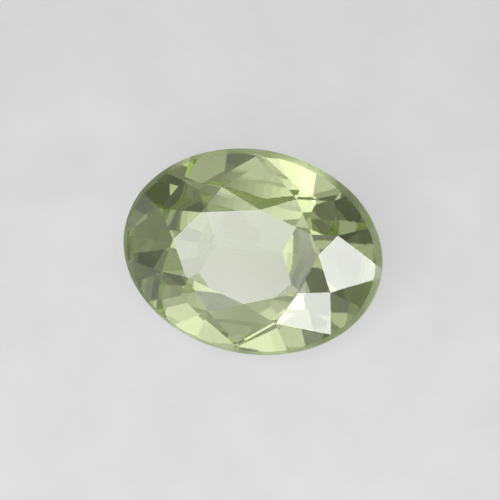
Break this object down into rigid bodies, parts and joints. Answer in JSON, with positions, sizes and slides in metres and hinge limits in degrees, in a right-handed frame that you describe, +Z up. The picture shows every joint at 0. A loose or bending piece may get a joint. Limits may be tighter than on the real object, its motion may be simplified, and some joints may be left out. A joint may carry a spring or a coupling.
{
  "type": "oval cut sapphire",
  "caption": "Loose oval cut gemstone with a flat table, a brilliant crown, a thin girdle and a low pavilion.",
  "frame": {"origin": "centre of the bounding box's base, on the surface that the stone lies on", "axes": "+X along the stone's length, +Z up, and the table leans towards -Y"},
  "size_m": [0.007, 0.0052, 0.0033],
  "materials": {
    "sapphire": "polished transparent crystal"
  },
  "bodies": {
    "root": {"sapphire": "sapphire"}
  },
  "joints": []
}
